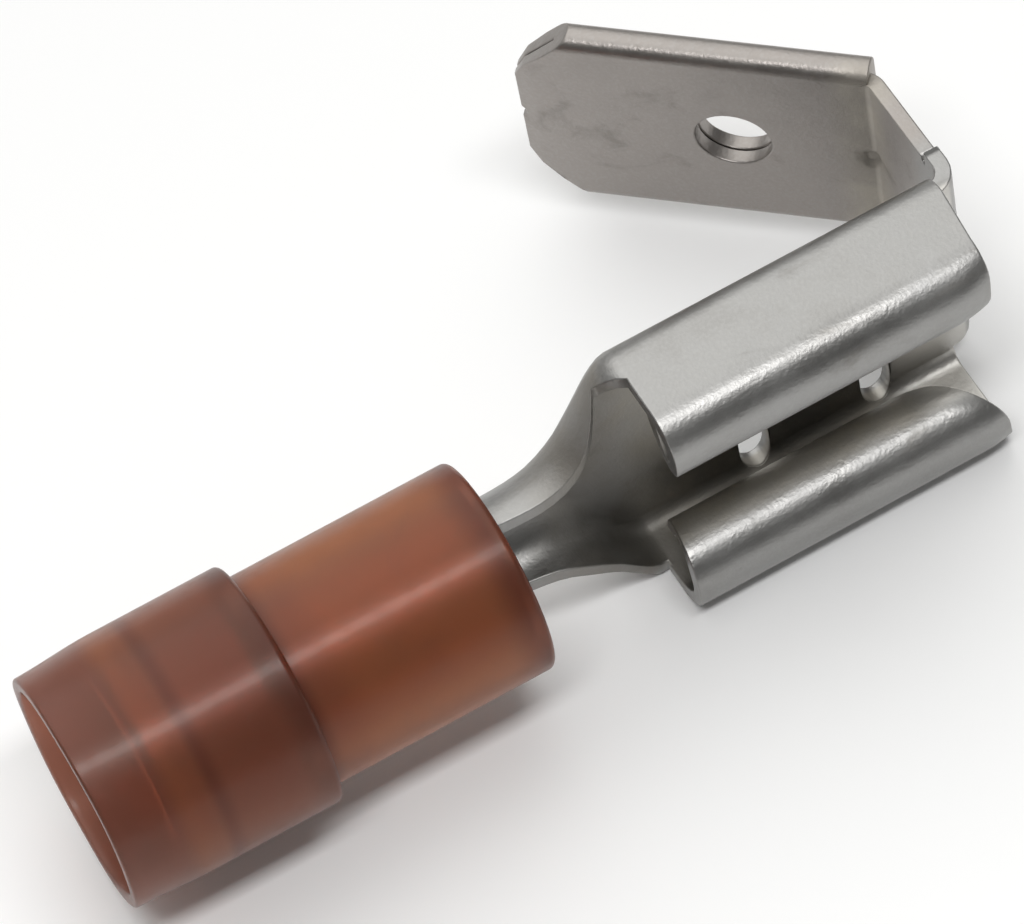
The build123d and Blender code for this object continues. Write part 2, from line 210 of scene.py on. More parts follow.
class Sheet:
    """A bent sheet, kept as pairs of points: one on its outer side and one on its inner side."""

    def __init__(self):
        self.outer = []
        self.inner = []
        self.faces = []
        self.count = 0

    def add(self, outer, inner, keep=None):
        """Adds a grid of point pairs, rows by columns, with quads where keep says so."""
        rows, columns = outer.shape[:2]
        index = self.count + np.arange(rows * columns).reshape(rows, columns)
        quads = np.stack([index[:-1, :-1], index[:-1, 1:], index[1:, 1:], index[1:, :-1]], -1)
        if keep is not None:
            quads = quads[keep]
        self.outer.append(outer.reshape(-1, 3))
        self.inner.append(inner.reshape(-1, 3))
        self.faces.append(quads.reshape(-1, 4))
        self.count += rows * columns

    def welded(self):
        """All grids joined: used pairs that lie on each other become one, and unused ones are dropped."""
        outer = np.concatenate(self.outer)
        inner = np.concatenate(self.inner)
        faces = np.concatenate(self.faces)
        used = np.unique(faces)
        key = np.round(np.concatenate([outer[used], inner[used]], 1), WELD_DECIMALS) + 0.0
        _, first, place = np.unique(key, axis=0, return_index=True, return_inverse=True)
        number = np.zeros(len(outer), int)
        number[used] = place.ravel()
        return outer[used[first]], inner[used[first]], number[faces]


def thicken(outer, inner, faces):
    """Closed wall from welded pairs: the outer skin, the inner skin turned round, and along every free edge a
    rim. Both skins are first drawn in at the free edges by the rounding, more at a corner so that it stays
    mitred. The rim leaves the outer skin in a quarter round, runs flat and comes back in a quarter round."""
    count = len(outer)
    starts = faces.ravel()
    ends = np.roll(faces, -1, axis=1).ravel()
    free = ~np.isin(starts * count + ends, ends * count + starts)
    tail, head = starts[free], ends[free]
    face_normal = unit(np.cross(outer[faces[:, 2]] - outer[faces[:, 0]], outer[faces[:, 3]] - outer[faces[:, 1]]))
    edge_normal = np.repeat(face_normal, 4, axis=0)[free]
    away = unit(np.cross(unit(outer[head] - outer[tail]), edge_normal))
    total = np.zeros_like(outer)
    np.add.at(total, tail, away)
    np.add.at(total, head, away)
    rim = np.unique(tail)
    reach = np.zeros_like(outer)
    reach[rim] = unit(total[rim])
    cosine = np.einsum("ij,ij->i", away, reach[tail])
    reach[tail] = reach[tail] / np.clip(cosine, MITRE_LIMIT, 1.0)[:, None]
    outer = outer - reach * EDGE_ROUND
    inner = inner - reach * EDGE_ROUND
    through = (inner - outer) / np.linalg.norm(inner - outer, axis=1, keepdims=True)

    def rim_layer(skin, turn, inward):
        """The rim's points at one turn of the quarter round that starts on a skin."""
        layer = skin + reach * EDGE_ROUND * math.sin(turn) + inward * through * EDGE_ROUND * (1 - math.cos(turn))
        return layer[rim]

    turns = [math.radians(turn) for turn in RIM_TURNS]
    layers = [rim_layer(outer, turn, 1) for turn in turns] + [rim_layer(inner, turn, -1) for turn in turns[::-1]]
    number = np.full(count, -1)
    number[rim] = np.arange(len(rim))
    rings = [np.arange(count)]
    rings += [2 * count + k * len(rim) + number for k in range(len(layers))]
    rings.append(count + np.arange(count))
    quads = [faces, faces[:, ::-1] + count]
    for low, high in zip(rings[:-1], rings[1:]):
        quads.append(np.stack([low[head], low[tail], high[tail], high[head]], -1))
    return np.concatenate([outer, inner, *layers]), np.concatenate(quads)


def trough_point(distance, flat, centre_y, radius):
    """Point at a distance along a U line from the middle of its floor: straight to flat, then a quarter turn of
    that radius round (flat, centre_y), then a straight wall towards -Y."""
    turn = np.clip((distance - flat) / radius, 0, np.pi / 2)
    over = np.maximum(distance - flat - radius * np.pi / 2, 0)
    z = np.minimum(distance, flat) + radius * np.sin(turn)
    y = centre_y + radius * np.cos(turn) - over
    return z, y


def trough_length(edge_y, flat, centre_y, radius):
    """Distance along that U line from the middle of its floor to the height edge_y."""
    turn = np.arccos(np.clip((edge_y - centre_y) / radius, 0, 1))
    wall = np.maximum(centre_y - edge_y, 0)
    return flat + radius * turn + wall


def distance_of_line(z, radius):
    """Distance along the receptacle's U line to the line at half width z, which may lie in its round corner."""
    return np.minimum(z, FLAT_HALF) + radius * np.arcsin(np.clip((z - FLAT_HALF) / radius, 0, 1))


def half_columns(radius):
    """Distances of the receptacle's columns from the middle of its floor up to the lip's start."""
    floor = distance_of_line(np.array(FLOOR_LINES + (FOOT_HALF,)), radius)
    corner = FLAT_HALF + radius * np.radians(CORNER_TURNS)
    wall = FLAT_HALF + radius * np.pi / 2 + CORNER_Y - np.array(WALL_LINES)
    return np.concatenate([floor, corner, wall])


OUTER_COLUMNS = half_columns(CORNER_R)
INNER_COLUMNS = half_columns(INNER_CORNER_R)


def on_lip(values):
    """Values for the lip's columns after zeros for the columns of floor, corner and wall."""
    return np.concatenate([np.zeros(len(OUTER_COLUMNS)), values])


# How far each column is drawn in at the nose, is cut back before the lip's crest, and lies past the crest

LIP_DRAWN = on_lip(smooth_rise(np.clip(LIP_TURN / math.radians(LIP_NOSE_TURN), 0, 1)))
LIP_CUT = on_lip(smooth_rise(np.clip(1 - np.cos(LIP_TURN) / LIP_NOSE_CUT_SPREAD, 0, 1)))
LIP_PAST = on_lip(np.where(LIP_TURN > math.pi / 2, (1 - np.sin(LIP_TURN)) / 2, 0))


def half_section(columns, radius, lip_radius):
    """One side of the receptacle's section: trough, then the lip as an arc rolled back over the floor."""
    z, y = trough_point(columns, FLAT_HALF, CORNER_Y, radius)
    lip_z = RECEPTACLE_HALF - LIP_R + lip_radius * np.cos(LIP_TURN)
    lip_y = LIP_CENTRE_Y - lip_radius * np.sin(LIP_TURN)
    return np.concatenate([z, lip_z]), np.concatenate([y, lip_y])


def receptacle_ends(y):
    """Where the columns start and end along X, on both sides. The lips start and end at a slant that grows past
    their crest, each lip's nose is cut back a little before its crest, and the upper wall leans back."""
    start = RECEPTACLE_START + LIP_REAR_SLANT * LIP_PAST
    end = RECEPTACLE_END - LIP_NOSE_CUT * LIP_CUT - (LIP_LEAD_IN - LIP_NOSE_CUT) * LIP_PAST
    lean = UPPER_LIP_SETBACK * np.clip((CORNER_Y - y) / (CORNER_Y - LIP_CENTRE_Y), 0, 1)
    return both_sides(start, start), both_sides(end, end - lean)


def add_receptacle(sheet):
    """The section of floor, walls and lips carried along X, with a ring of quads round each floor slot. Towards
    the front the lips are drawn in to their centre line, by the square of the way along their nose."""
    slots = [[centre + row for row in SLOT_ROWS] for centre in SLOT_CENTRES]
    rows = np.concatenate([REAR_ROWS, slots[0], MIDDLE_ROWS, slots[1], FRONT_ROWS])
    share = ((rows - RECEPTACLE_START) / (RECEPTACLE_END - RECEPTACLE_START))[:, None]
    skins = []
    for columns, radius, lip_radius in (
        (OUTER_COLUMNS, CORNER_R, LIP_R),
        (INNER_COLUMNS, INNER_CORNER_R, LIP_R - SHEET),
    ):
        z, y = half_section(columns, radius, lip_radius)
        start, end = receptacle_ends(y)
        x = start + share * (end - start)
        y, z = both_sides(y, y), both_sides(-z, z)
        near_front = np.clip((x - end) / LIP_NOSE_LENGTH + 1, 0, 1) ** 2
        drawn = LIP_NOSE_DEPTH * near_front * both_sides(LIP_DRAWN, LIP_DRAWN) / lip_radius
        centre_z = np.sign(z) * (RECEPTACLE_HALF - LIP_R)
        skins.append(point_array(x, y + drawn * (LIP_CENTRE_Y - y), z + drawn * (centre_z - z)))
    middle = len(OUTER_COLUMNS) + LIP_COLUMNS - 1
    keep = np.ones((len(rows) - 1, 2 * middle), bool)
    first, last = FIRST_SLOT_COLUMN, LAST_CORNER_COLUMN
    for centre, slot in zip(SLOT_CENTRES, slots):
        low = int(np.searchsorted(rows, slot[0]))
        high = low + len(slot) - 1
        keep[low:high, middle + first : middle + last] = False
        keep[low:high, middle - last : middle - first] = False
        for side in (1, -1):
            add_slot_ring(sheet, rows[low : high + 1], centre, side)
    sheet.add(*skins, keep)


def loop_round(rows, columns):
    """Row and column numbers once round a block of that many rows and columns, starting and ending at a corner."""
    r, c = rows - 1, columns - 1
    row = np.concatenate([np.zeros(c), np.arange(r), np.full(c, r), np.arange(r, 0, -1), [0]])
    column = np.concatenate([np.arange(c), np.full(r, c), np.arange(c, 0, -1), np.zeros(r), [0]])
    return row.astype(int), column.astype(int)


def add_slot_ring(sheet, rows, centre, side):
    """Quads between a block of the floor and the slot in it, in steps from the block's border to the slot's
    outline: two half circles joined by straight sides. The slot's outer end reaches into the round corner."""
    numbers = np.arange(FIRST_SLOT_COLUMN, LAST_CORNER_COLUMN + 1)
    row, column = loop_round(len(rows), len(numbers))
    if side < 0:
        numbers = numbers[::-1]
    x = rows[row]
    outer_distance = OUTER_COLUMNS[numbers][column]
    inner_distance = INNER_COLUMNS[numbers][column]
    z, _ = trough_point(outer_distance, FLAT_HALF, CORNER_Y, CORNER_R)
    stretch = (z - SLOT_FIRST_LINE) / (RECEPTACLE_HALF - SLOT_FIRST_LINE)
    low, high = SLOT_STRAIGHT
    along = low - SLOT_R + stretch * (high - low + 2 * SLOT_R)
    anchor = np.clip(along, low, high)
    straight = (along > low) & (along < high)
    dx = x - centre
    dz = np.where(straight, 0.0, z - anchor)
    length = np.hypot(dx, dz)
    slot_x = centre + SLOT_R * dx / length
    slot_z = anchor + SLOT_R * dz / length
    step = np.array(SLOT_STEPS)[:, None]
    ring_x = x + step * (slot_x - x)
    skins = []
    for distance, radius in ((outer_distance, CORNER_R), (inner_distance, INNER_CORNER_R)):
        target = distance_of_line(slot_z, radius)
        ring_z, ring_y = trough_point(distance + step * (target - distance), FLAT_HALF, CORNER_Y, radius)
        skins.append(point_array(ring_x, ring_y, side * ring_z))
    sheet.add(*skins)


def edge_curve(points, x):
    """Smooth curve through the points: between two of them a cubic whose slopes are those of its neighbours."""
    px, py = np.array(points).T
    slope = np.gradient(py, px)
    k = np.clip(np.searchsorted(px, x, side="right") - 1, 0, len(px) - 2)
    width = px[k + 1] - px[k]
    t = (x - px[k]) / width
    rise = smooth_rise(t)
    curve = py[k] * (1 - rise) + py[k + 1] * rise
    return curve + width * (slope[k] * t * (1 - t) ** 2 - slope[k + 1] * t * t * (1 - t))


def neck_sections():
    """The trough at each row. On the way u from the barrel to the receptacle the floor rises smoothly with u,
    the half width with the square of u and the corner with its power 1.5. The free edges follow their curves,
    and the upper one ends in the straight slope of the notch."""
    x = np.array(NECK_ROWS)
    u = (x - NECK_START) / (RECEPTACLE_START - NECK_START)
    half = BARREL_R + (RECEPTACLE_HALF - BARREL_R) * smooth_rise(u**2)
    floor = BARREL_R + (FLOOR_Y - BARREL_R) * smooth_rise(u)
    first = BARREL_R - BARREL_FLAT
    corner = first + (CORNER_R - first) * smooth_rise(u**1.5)
    notch = (x - NOTCH_START) / (RECEPTACLE_START - NOTCH_START)
    upper = edge_curve(UPPER_EDGE, np.minimum(x, NOTCH_START))
    upper = np.where(notch > 0, NOTCH_START_Y + notch * (NOTCH_END_Y - NOTCH_START_Y), upper)
    lower = edge_curve(LOWER_EDGE, x)
    return half, floor, corner, upper, lower


def neck_grid(columns, thinner):
    """Points of one skin of the neck, each column at its own share of the way from floor middle to free edge."""
    half, floor, corner, upper, lower = neck_sections()
    flat = (half - corner)[:, None]
    centre = (floor - corner)[:, None]
    radius = (corner - thinner)[:, None]
    sides = []
    for last, edge in ((LOWER_EDGE_COLUMN, lower), (UPPER_EDGE_COLUMN, upper)):
        share = columns[: last + 1] / columns[last]
        sides.append(trough_point(share * trough_length(edge[:, None], flat, centre, radius), flat, centre, radius))
    (low_z, low_y), (up_z, up_y) = sides
    z = np.concatenate([-low_z[:, ::-1][:, :-1], up_z], 1)
    y = np.concatenate([low_y[:, ::-1][:, :-1], up_y], 1)
    return point_array(np.array(NECK_ROWS)[:, None], y, z)


def add_neck_and_barrel(sheet):
    """The neck's grid, and the barrel: its first row carried back along X and closed round to the seam."""
    outer = neck_grid(OUTER_COLUMNS, 0.0)
    inner = neck_grid(INNER_COLUMNS, SHEET)
    sheet.add(outer, inner)
    x = np.array(BARREL_ROWS)[:, None]
    skins = []
    for grid, radius in ((outer, BARREL_R), (inner, BARREL_R - SHEET)):
        begin = math.asin(-UPPER_EDGE[0][1] / radius)
        finish = math.pi / 2 - math.asin(SEAM_HALF / radius)
        turn = begin + (finish - begin) * np.arange(1, SEAM_COLUMNS + 1) / SEAM_COLUMNS
        z = np.concatenate([-radius * np.cos(turn[::-1]), grid[0, :, 2], radius * np.cos(turn)])
        y = np.concatenate([-radius * np.sin(turn[::-1]), grid[0, :, 1], -radius * np.sin(turn)])
        skins.append(point_array(x, y, z))
    sheet.add(*skins)


def on_tab(along, across, depth):
    """Points in the tab's own frame: along it, across it, and depth behind its face."""
    along, across, depth = (part[..., None] for part in np.broadcast_arrays(along, across, depth))
    return TAB_ORIGIN + along * TAB_ALONG + across * TAB_ACROSS + depth * TAB_AWAY


def press_dimple(points):
    """Pushes the face in to a shallow flat disc in the inside of the bend, with a soft shoulder round it."""
    local = points - TAB_ORIGIN
    depth = local @ TAB_AWAY
    distance = np.hypot(local @ TAB_ALONG - DIMPLE_ALONG, points[..., 2] - DIMPLE_ACROSS)
    inside = np.clip((DIMPLE_R + DIMPLE_BRIM - distance) / DIMPLE_SHOULDER, 0, 1)
    press = smooth_rise(inside) * (depth < DIMPLE_DEPTH)
    return points + (press * (DIMPLE_DEPTH - depth))[..., None] * TAB_AWAY


def add_riser(sheet):
    """Foot bend, upright and top bend as one strip: quarter turn, straight rows, then the arc up to the tab. Its
    first row is the receptacle's last, and it loses its outer columns above the foot."""
    upright = np.array(RISER_ROWS)
    bend = TAB_TURN * np.arange(1, BEND_STEPS + 1) / BEND_STEPS
    lines = np.array(FLOOR_LINES + (FOOT_HALF,))
    skins = []
    for thinner, columns, radius in ((0.0, OUTER_COLUMNS, CORNER_R), (SHEET, INNER_COLUMNS, INNER_CORNER_R)):
        foot_radius, bend_radius = FOOT_R + thinner, BEND_R + thinner
        row_x = np.concatenate([
            RECEPTACLE_END + foot_radius * np.sin(QUARTER_TURN),
            np.full(len(upright), RISER_X + thinner),
            RISER_X - BEND_R + bend_radius * np.cos(bend),
        ])
        row_y = np.concatenate([
            FLOOR_Y + FOOT_R - foot_radius * np.cos(QUARTER_TURN),
            upright,
            RISER_TOP + bend_radius * np.sin(bend),
        ])
        grid = point_array(row_x[:, None], row_y[:, None], both_sides(-lines, lines))
        z, y = trough_point(columns[:FLOOR_COUNT], FLAT_HALF, CORNER_Y, radius)
        grid[0] = point_array(RECEPTACLE_END, both_sides(y, y), both_sides(-z, z))
        skins.append(grid)
    outer, inner = skins
    keep = np.ones((outer.shape[0] - 1, outer.shape[1] - 1), bool)
    foot_rows = len(QUARTER_TURN) + RISER_ROWS.index(FOOT_TOP)
    keep[foot_rows:, (0, -1)] = False
    keep[foot_rows, (1, -2)] = False
    sheet.add(press_dimple(outer), inner, keep)


def hem_columns():
    """Half of the tab's section on both skins, as across and depth: a straight face, an edge folded round
    through a half turn, and a straight back that ends at the seam."""
    r, gap = HEM_EDGE_R, HEM_GAP / 2
    flat, line = TAB_HALF - r, TAB_HALF - SHEET
    back = np.array(BACK_LINES)
    fold_across = np.concatenate([flat + r * np.sin(QUARTER_TURN), [TAB_HALF], flat + r * np.sin(QUARTER_TURN[::-1])])
    fold_depth = np.concatenate([
        r - r * np.cos(QUARTER_TURN), [SHEET], 2 * SHEET - r + r * np.cos(QUARTER_TURN[::-1]),
    ])
    outer_face = np.minimum(FLOOR_LINES, flat - FOLD_CLEARANCE)
    outer_across = np.concatenate([outer_face, fold_across, back])
    outer_depth = np.concatenate([np.zeros_like(outer_face), fold_depth, np.full_like(back, 2 * SHEET)])
    inner_face = np.minimum(outer_face, line - FOLD_CLEARANCE / 2)
    inside = np.linspace(-np.pi / 2, np.pi / 2, len(fold_across))
    inner_across = np.concatenate([inner_face, line + gap * np.cos(inside), back])
    inner_depth = np.concatenate([
        np.full_like(inner_face, SHEET - gap), SHEET + gap * np.sin(inside), np.full_like(back, SHEET + gap),
    ])
    return (outer_across, outer_depth), (inner_across, inner_depth)


def tab_end(across):
    """How far the tab reaches at a distance from its middle: a chamfer at each corner and a small middle notch."""
    across = np.abs(across)
    notch = TIP_NOTCH * (1 - smooth_rise(np.clip((across - TIP_NOTCH_HALF) / TIP_NOTCH_FADE, 0, 1)))
    return TAB_LENGTH - np.maximum(across - (TAB_HALF - TIP_CHAMFER), 0) - notch


def tab_skin(across, depth, front):
    """One skin of the tab, as along, across and depth: its section carried at fixed rows, then in shares of the
    way to its end. In the first row the face begins at the bend, at the depth front, and the folds before it."""
    face = np.array(FLOOR_LINES)
    middle = len(across) - 1
    in_face = np.abs(np.arange(2 * middle + 1) - middle) < len(face)
    across = both_sides(-across, across)
    last = TAB_ROWS[-1]
    along = np.concatenate([
        np.repeat(TAB_ROWS[:, None], len(across), 1),
        last + TAB_TIP_SHARES[:, None] * (tab_end(across) - last),
    ])
    across = np.repeat(across[None], len(along), 0)
    depth = np.repeat(both_sides(depth, depth)[None], len(along), 0)
    along[0] = np.where(in_face, 0.0, -HEM_TAIL)
    depth[0] = np.where(in_face, front, depth[0])
    across[0, in_face] = both_sides(-face, face)
    return along, across, depth


def slope_tip(along, depth):
    """Depth of the outer skin, sloping in from the face and from the back over the tab's last stretch."""
    slope = TIP_SLOPE * np.maximum(along - (TAB_LENGTH - TIP_SLOPE_LENGTH), 0)
    return depth + slope * np.where(depth < SHEET, 1, -1)


def add_tab(sheet):
    """The tab's two skins, with a ring of quads round the hole in its face and one in each half of its back."""
    outer_section, inner_section = hem_columns()
    along, across, depth = tab_skin(*outer_section, 0.0)
    outer = press_dimple(on_tab(along, across, slope_tip(along, depth)))
    inner = on_tab(*tab_skin(*inner_section, SHEET))
    first = len(TAB_REAR_ROWS)
    last = first + len(HOLE_ROWS) - 1
    middle = outer.shape[1] // 2
    line = FLOOR_LINES.index(HOLE_LINE)
    back = np.array(BACK_LINES[BACK_LINES.index(HOLE_LINE) :])
    count = len(back) - 1
    keep = np.ones((len(outer) - 1, 2 * middle), bool)
    keep[first:last, middle - line : middle + line] = False
    keep[first:last, :count] = False
    keep[first:last, -count:] = False
    sheet.add(outer, inner, keep)
    rows = TAB_ROWS[first : last + 1]
    face = np.array(FLOOR_LINES[: line + 1])
    face = both_sides(-face, face)
    row, column = loop_round(len(rows), len(face))
    add_hole_ring(sheet, rows[row], face[column], 0.0, SHEET - HEM_GAP / 2)
    end = len(rows) - 1
    row = np.concatenate([np.full(count, end), np.arange(end, 0, -1), np.zeros(count + 1)]).astype(int)
    column = np.concatenate([np.arange(count, 0, -1), np.zeros(end), np.arange(count + 1)]).astype(int)
    along, across = rows[row], back[column]
    add_hole_ring(sheet, along, across, 2 * SHEET, SHEET + HEM_GAP / 2)
    add_hole_ring(sheet, along[::-1], -across[::-1], 2 * SHEET, SHEET + HEM_GAP / 2)


def add_hole_ring(sheet, along, across, outer_depth, inner_depth):
    """Quads from a block's border in to the round hole, each point moving straight towards the hole's middle,
    but points on the back's seam only along the tab."""
    distance = np.hypot(along - HOLE_CENTRE, across)
    hole_along = HOLE_CENTRE + HOLE_R * (along - HOLE_CENTRE) / distance
    hole_across = HOLE_R * across / distance
    if outer_depth > 0:
        at_seam = np.abs(across) <= HEM_SEAM / 2
        hole_across = np.where(at_seam, across, hole_across)
    step = np.array(HOLE_STEPS)[:, None]
    ring_along = along + step * (hole_along - along)
    ring_across = across + step * (hole_across - across)
    sheet.add(on_tab(ring_along, ring_across, outer_depth), on_tab(ring_along, ring_across, inner_depth))


def mesh_object(name, points, quads, material):
    """Puts points in millimetres and quads into a mesh, smooth, with normals weighted by face area."""
    mesh = bpy.data.meshes.new(name)
    mesh.vertices.add(len(points))
    mesh.vertices.foreach_set("co", (points * MM).ravel())
    mesh.loops.add(quads.size)
    mesh.loops.foreach_set("vertex_index", quads.ravel().astype(np.int32))
    mesh.polygons.add(len(quads))
    mesh.polygons.foreach_set("loop_start", np.arange(0, quads.size, 4, dtype=np.int32))
    mesh.update(calc_edges=True)
    mesh.validate()
    area = np.cross(points[quads[:, 2]] - points[quads[:, 0]], points[quads[:, 3]] - points[quads[:, 1]])
    normal = np.zeros_like(points)
    for k in range(4):
        np.add.at(normal, quads[:, k], area)
    mesh.polygons.foreach_set("use_smooth", np.ones(len(mesh.polygons), bool))
    mesh.normals_split_custom_set_from_vertices(unit(normal).tolist())
    mesh.materials.append(material)
    piece = bpy.data.objects.new(name, mesh)
    bpy.context.scene.collection.objects.link(piece)
    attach(piece, "root")
    return piece


def make_stamping(material):
    """Barrel, neck, receptacle, riser and tab as one closed wall of sheet."""
    sheet = Sheet()
    add_neck_and_barrel(sheet)
    add_receptacle(sheet)
    add_riser(sheet)
    add_tab(sheet)
    points, quads = thicken(*sheet.welded())
    piece = mesh_object("tinned_stamping", points, quads, material)
    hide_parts("terminal")


# The ferrule's sizes: a tube with a belled rear rim, wide behind its step

FERRULE_START = 1.45
FERRULE_STEP = 4.85
FERRULE_END = 11.05
FERRULE_REAR_R = 2.50
FERRULE_FRONT_R = 1.97
FERRULE_WALL = 0.30
BELL_LENGTH = 0.32
BELL_FLARE = 0.06
BELL_EDGE = 0.03
FERRULE_KNEE_R = 0.12
FERRULE_HOLLOW_R = 0.10
FERRULE_EDGE_R = 0.06

# The sleeve's sizes: it swells from its mouth to the rear tube, steps down, and its bore follows the ferrule

SLEEVE_STEP = 5.40
SLEEVE_END = 11.22
SLEEVE_MOUTH_R = 2.97
SLEEVE_REAR_R = 3.06
SLEEVE_FRONT_R = 2.69
SWELL_END = 2.0
SWELL_ROWS = 12
MOUTH_R = 0.08
MOUTH_FLAT = 0.28
MOUTH_BEVEL_X = 0.06
MOUTH_BEVEL_R = 0.08
SLEEVE_KNEE_R = 0.14
SLEEVE_HOLLOW_R = 0.06
SLEEVE_FRONT_EDGE_R = 0.16
SLEEVE_BORE_EDGE_R = 0.04
BORE_CLEARANCE = 0.05
BORE_STEP = FERRULE_STEP + 0.15
BORE_FLARE_START = FERRULE_START + 0.3
BORE_FLARE_END = FERRULE_START + 0.1
BORE_FLARE = 0.07

# How the two tubes are uneven: heights of their waves, and how far the waves reach from the rim

TUBE_COLUMNS = 144
OVAL = 0.006
MOUTH_WAVE = 0.012
MOUTH_RIPPLE = 0.006
MOUTH_REACH = 2.5
BELL_WAVE = 0.01
BELL_RIPPLE = 0.006
BELL_REACH = 1.2


def run(x0, r0, x1, r1, steps):
    """Points in even steps straight from one (x, radius) pair to another, the last one left out."""
    share = np.arange(steps) / steps
    return np.stack([x0 + share * (x1 - x0), r0 + share * (r1 - r0)], 1)


def arc(x, r, radius, start, finish, steps=6):
    """Points in even steps on an arc about (x, r), from one angle to another in degrees, the last one left out."""
    turn = np.radians(start + (finish - start) * np.arange(steps) / steps)
    return np.stack([x + radius * np.cos(turn), r + radius * np.sin(turn)], 1)


def turn_tube(name, profile, sway, material, node):
    """A closed profile of (x, radius) pairs turned round the X axis, each point moved by the sway at its x and
    turn, as a moulded or drawn tube is never quite round."""
    turn = 2 * np.pi * np.arange(TUBE_COLUMNS) / TUBE_COLUMNS
    x, r = profile[:, :1], profile[:, 1:]
    x_sway, r_sway = sway(x, turn)
    radius = r + r_sway
    points = point_array(x + x_sway, radius * np.cos(turn), radius * np.sin(turn))
    index = np.arange(points.shape[0] * TUBE_COLUMNS).reshape(-1, TUBE_COLUMNS)
    below = np.roll(index, -1, 0)
    quads = np.stack([index, np.roll(index, -1, 1), np.roll(below, -1, 1), below], -1).reshape(-1, 4)
    piece = mesh_object(name, points.reshape(-1, 3), quads, material)
    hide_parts(node)


def sleeve_profile():
    """Outside from the mouth over a smooth swell to the step and the front end, then back along the bore."""
    mouth, rear, front = SLEEVE_MOUTH_R, SLEEVE_REAR_R, SLEEVE_FRONT_R
    step, end, knee, hollow, edge = SLEEVE_STEP, SLEEVE_END, SLEEVE_KNEE_R, SLEEVE_HOLLOW_R, SLEEVE_FRONT_EDGE_R
    bore_front = FERRULE_FRONT_R + BORE_CLEARANCE
    bore_rear = FERRULE_REAR_R + BORE_CLEARANCE
    bore_edge = SLEEVE_BORE_EDGE_R
    flat = mouth - MOUTH_FLAT
    bevel = flat - MOUTH_BEVEL_R
    swell = mouth + (rear - mouth) * smooth_rise(np.linspace(0, 1, SWELL_ROWS))
    return np.concatenate([
        run(0.0, flat, 0.0, mouth - MOUTH_R, 4),
        arc(MOUTH_R, mouth - MOUTH_R, MOUTH_R, 180, 90),
        np.stack([np.linspace(MOUTH_R, SWELL_END, SWELL_ROWS), swell], 1)[:-1],
        run(SWELL_END, rear, step - knee, rear, 10),
        arc(step - knee, rear - knee, knee, 90, 0),
        run(step, rear - knee, step, front + hollow, 3),
        arc(step + hollow, front + hollow, hollow, 180, 270),
        run(step + hollow, front, end - edge, front, 16),
        arc(end - edge, front - edge, edge, 90, 0),
        run(end, front - edge, end, bore_front + bore_edge, 4),
        arc(end - bore_edge, bore_front + bore_edge, bore_edge, 0, -90, 4),
        run(end - bore_edge, bore_front, BORE_STEP, bore_front, 14),
        run(BORE_STEP, bore_front, BORE_STEP, bore_rear, 3),
        run(BORE_STEP, bore_rear, BORE_FLARE_START, bore_rear, 8),
        run(BORE_FLARE_START, bore_rear, BORE_FLARE_END, bore_rear + BORE_FLARE, 2),
        run(BORE_FLARE_END, bore_rear + BORE_FLARE, MOUTH_BEVEL_X, bevel, 8),
        run(MOUTH_BEVEL_X, bevel, 0.0, flat, 2),
    ])


def ferrule_profile():
    """Outside from the belled rear rim over the step to the front end, then back along the two bores."""
    rear, front, step, end = FERRULE_REAR_R, FERRULE_FRONT_R, FERRULE_STEP, FERRULE_END
    knee, hollow, edge = FERRULE_KNEE_R, FERRULE_HOLLOW_R, FERRULE_EDGE_R
    bore_rear, bore_front, bore_step = rear - FERRULE_WALL, front - FERRULE_WALL, step - FERRULE_WALL
    start, bell = FERRULE_START, FERRULE_START + BELL_LENGTH
    rim_outer, rim_inner = rear + BELL_FLARE, bore_rear + BELL_FLARE
    return np.concatenate([
        run(start, rim_inner + BELL_EDGE, start, rim_outer - BELL_EDGE, 3),
        run(start, rim_outer - BELL_EDGE, start + BELL_EDGE, rim_outer, 1),
        run(start + BELL_EDGE, rim_outer, bell, rear, 5),
        run(bell, rear, step - knee, rear, 10),
        arc(step - knee, rear - knee, knee, 90, 0),
        run(step, rear - knee, step, front + hollow, 3),
        arc(step + hollow, front + hollow, hollow, 180, 270),
        run(step + hollow, front, end - edge, front, 16),
        arc(end - edge, front - edge, edge, 90, 0),
        run(end, front - edge, end, bore_front, 2),
        run(end, bore_front, bore_step + hollow, bore_front, 14),
        arc(bore_step + hollow, bore_front + hollow, hollow, 270, 180),
        run(bore_step, bore_front + hollow, bore_step, bore_rear - edge, 2),
        arc(bore_step - edge, bore_rear - edge, edge, 0, 90),
        run(bore_step - edge, bore_rear, bell, bore_rear, 10),
        run(bell, bore_rear, start, rim_inner, 5),
        run(start, rim_inner, start, rim_inner + BELL_EDGE, 1),
    ])


def sleeve_sway(x, turn):
    """Moves along X and out from the axis: two waves round the turn all along the sleeve and, fading with the
    square of the distance from the open mouth, three and seven more out and two and five more along."""
    mouth = np.clip(1 - x / MOUTH_REACH, 0, 1) ** 2
    waves = MOUTH_WAVE * np.cos(3 * turn + 2.0) + MOUTH_RIPPLE * np.cos(7 * turn)
    ends = MOUTH_WAVE * (1 + np.cos(2 * turn + 1.1)) + MOUTH_RIPPLE * (1 + np.cos(5 * turn + 0.4))
    return mouth * ends, OVAL * np.cos(2 * turn + 0.7) + mouth * waves


def ferrule_sway(x, turn):
    """Three waves round the belled rim along X and four out from the axis, both fading evenly."""
    rim = np.clip(1 - (x - FERRULE_START) / BELL_REACH, 0, 1)
    return rim * BELL_WAVE * (1 + np.cos(3 * turn)), rim * BELL_RIPPLE * np.cos(4 * turn + 0.5)


